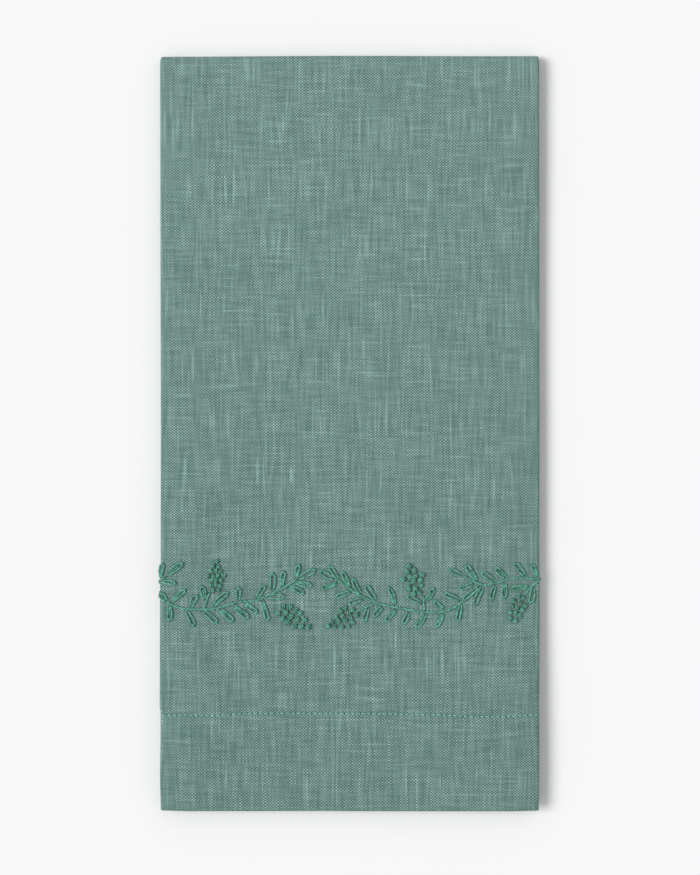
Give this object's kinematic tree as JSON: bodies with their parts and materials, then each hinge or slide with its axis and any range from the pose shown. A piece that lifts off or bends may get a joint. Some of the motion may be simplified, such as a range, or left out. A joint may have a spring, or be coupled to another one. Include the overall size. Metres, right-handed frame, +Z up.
{
  "type": "folded linen towel",
  "caption": "Linen hand towel folded in thirds and then in half, with a deep stitched hem and an embroidered garland of pine sprigs and cones.",
  "frame": {"origin": "on the surface that the towel lies on, under the middle of the folded towel", "axes": "+Z up, out of the embroidered front; +Y along the folded towel, from the hemmed end to the folded end; +X to the right as the front is seen with the hemmed end below"},
  "size_m": [0.1792, 0.3557, 0.0098],
  "materials": {
    "linen": "plain-woven dusty green linen with slubs, matt",
    "thread": "twisted cotton embroidery thread, mid green, soft sheen"
  },
  "bodies": {
    "root": {"linen_towel": "linen", "pine_sprig_left": "thread", "pine_sprig_middle": "thread", "pine_sprig_right": "thread", "pine_sprig_fold": "thread", "pine_cone_1": "thread", "pine_cone_2": "thread", "pine_cone_3": "thread", "pine_cone_4": "thread", "pine_cone_5": "thread"}
  },
  "joints": []
}
